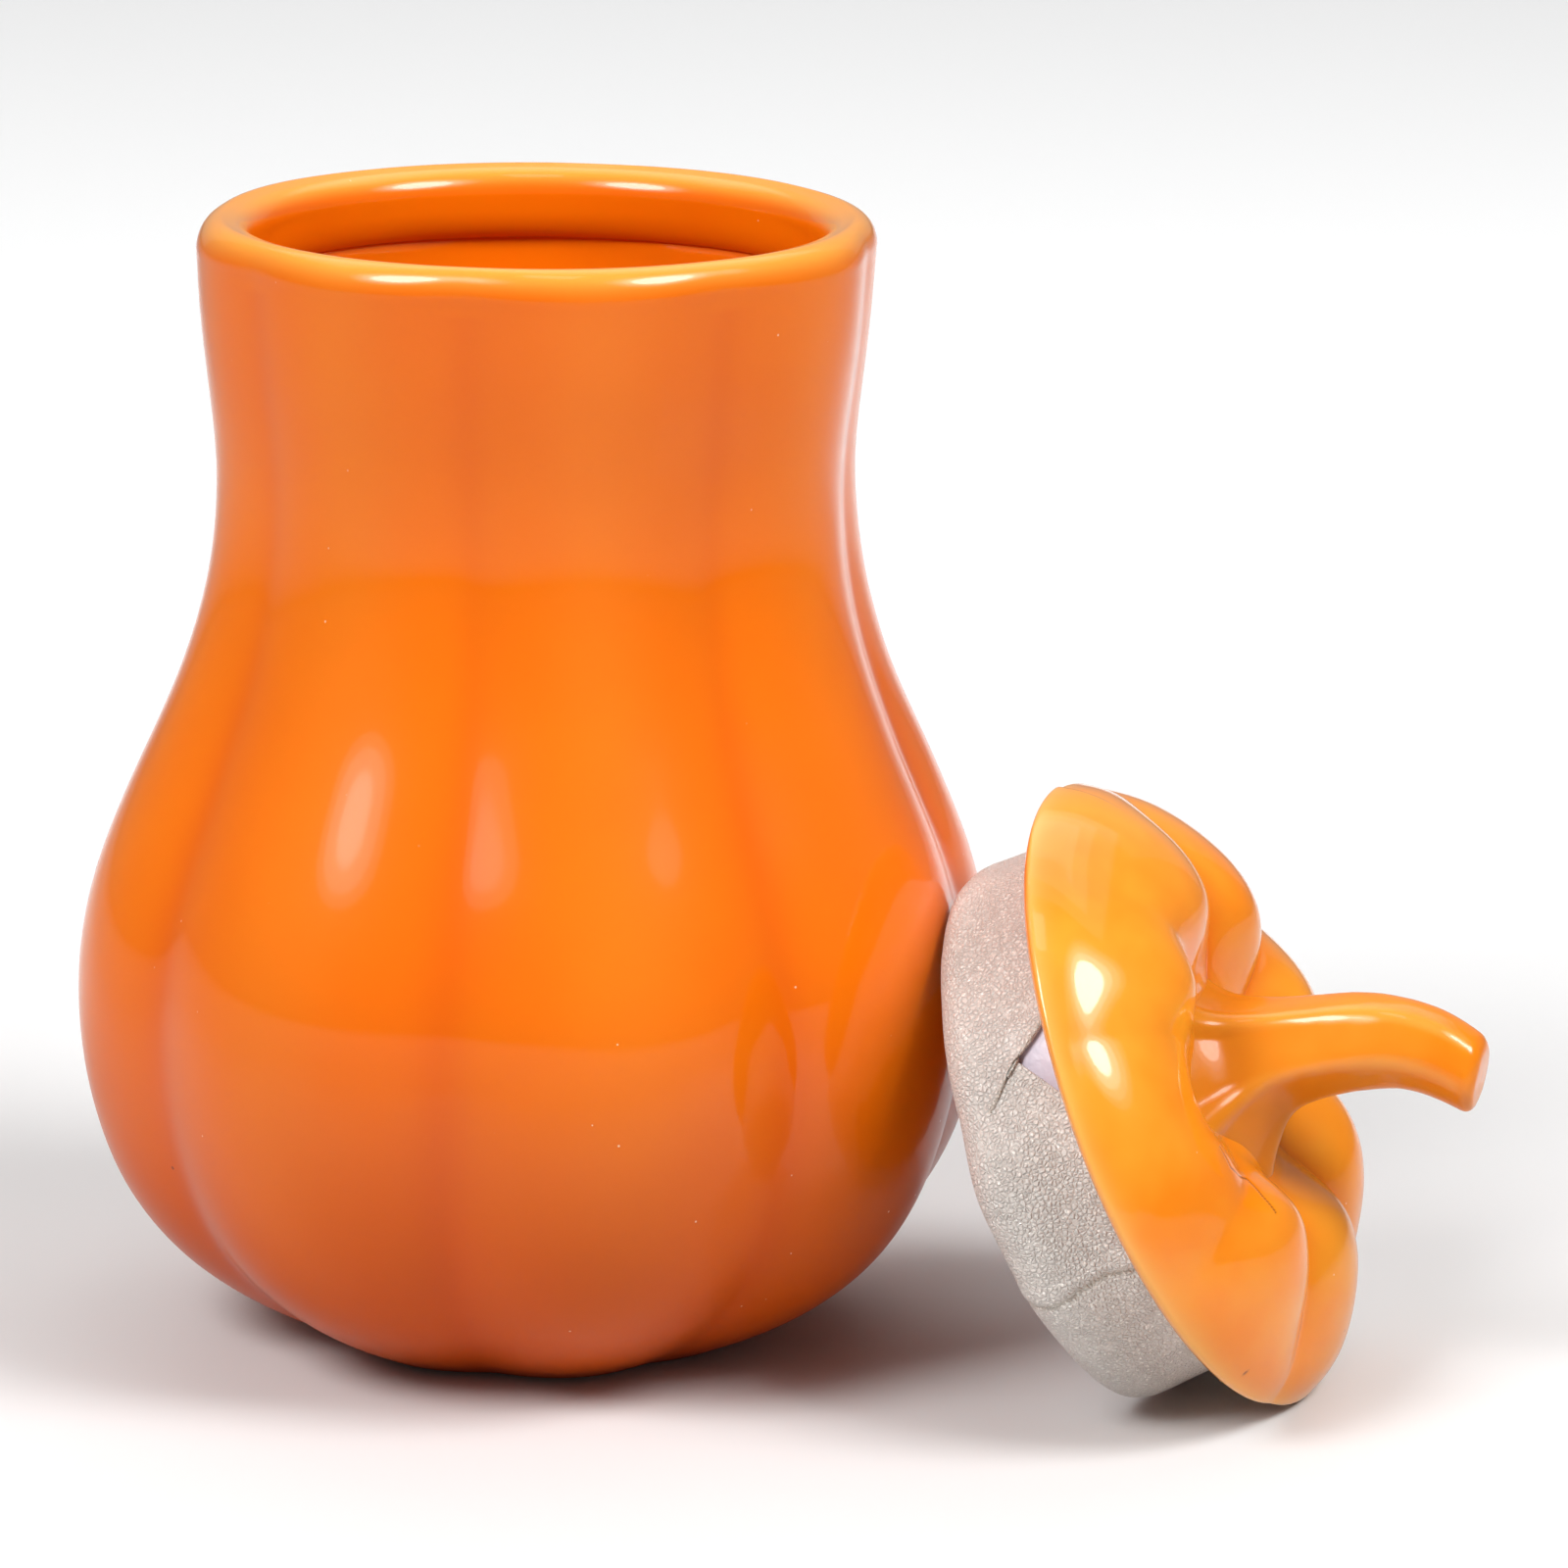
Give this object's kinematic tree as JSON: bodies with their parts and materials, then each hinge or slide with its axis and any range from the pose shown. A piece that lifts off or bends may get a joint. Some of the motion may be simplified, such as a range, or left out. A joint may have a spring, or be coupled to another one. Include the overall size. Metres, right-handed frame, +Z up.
{
  "type": "lidded ceramic pumpkin jar",
  "caption": "Tall pumpkin-shaped glazed storage jar with a lobed lid, a curved stem and a padded seal; the lid is off and leans on the belly.",
  "frame": {"origin": "middle of the jar's flat foot, on the surface it stands on", "axes": "+Z up along the jar's axis, +X to the right and +Y to the back as seen from the front, with the lid leaning at +X and -Y"},
  "size_m": [0.1393, 0.0956, 0.1125],
  "materials": {
    "jar_glaze": "gloss",
    "lid_glaze": "gloss",
    "pad_foam": "matte",
    "pearl_cover": "satin"
  },
  "bodies": {
    "jar": {"jar_body": "jar_glaze"},
    "lid": {"lid_cap": "lid_glaze", "lid_stem": "lid_glaze", "seal_pad": "pad_foam", "seal_cover": "pearl_cover"}
  },
  "joints": [
    {"name": "lid_lift", "type": "slide", "parent": "jar", "child": "lid", "axis": [0, 0, 1], "range_m": [0, 0.125]}
  ]
}
